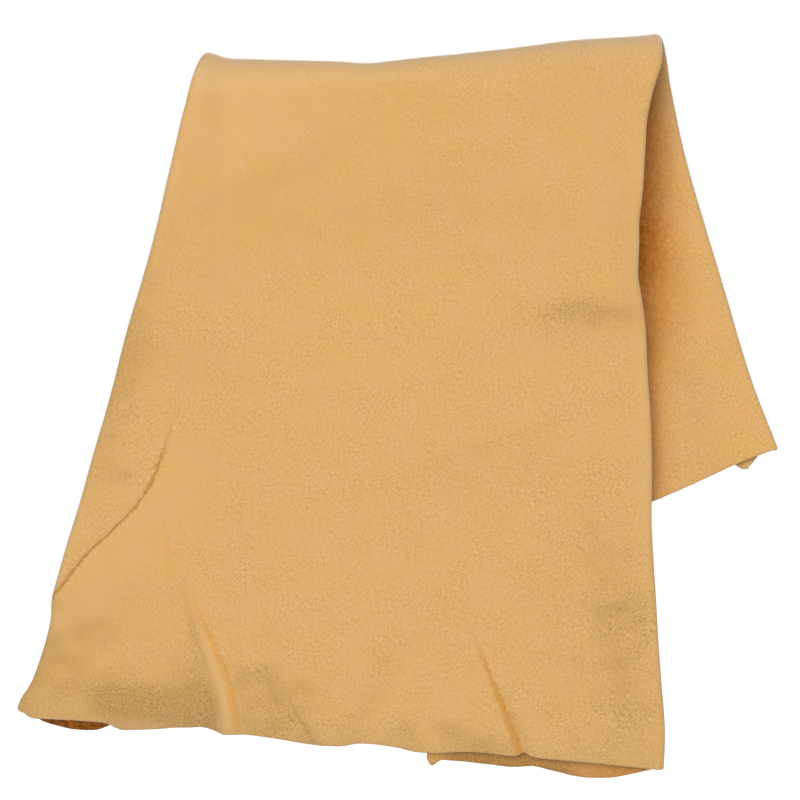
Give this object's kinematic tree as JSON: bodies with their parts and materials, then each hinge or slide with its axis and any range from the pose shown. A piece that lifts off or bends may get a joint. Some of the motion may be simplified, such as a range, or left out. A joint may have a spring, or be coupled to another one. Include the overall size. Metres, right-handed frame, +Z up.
{
  "type": "chamois leather",
  "caption": "Soft tan chamois leather for wiping and drying, side margins turned under, hung askew over a rail with a longer front flap and a shorter back flap",
  "frame": {"origin": "on the axis of the rail that the skin hangs over, near the middle of the ridge", "axes": "+X along the rail, to the right as seen from the front flap; -Y towards the front flap; +Z up"},
  "size_m": [0.3949, 0.051, 0.3784],
  "materials": {
    "chamois": "soft buffed suede nap on both faces"
  },
  "bodies": {
    "crown": {"top_fold": "chamois", "top_left_margin": "chamois", "top_right_margin": "chamois"},
    "front_flap": {"front_panel": "chamois", "front_left_margin": "chamois", "front_right_margin": "chamois"},
    "back_flap": {"back_panel": "chamois", "back_left_margin": "chamois", "back_right_margin": "chamois"}
  },
  "joints": [
    {"name": "front_lift", "type": "hinge", "parent": "crown", "child": "front_flap", "pos_m": [0, -0.0248, -0.008], "axis": [-1, 0, 0], "range_deg": [0, 85]},
    {"name": "back_lift", "type": "hinge", "parent": "crown", "child": "back_flap", "pos_m": [0, 0.0255, -0.008], "axis": [1, 0, 0], "range_deg": [0, 85]}
  ]
}
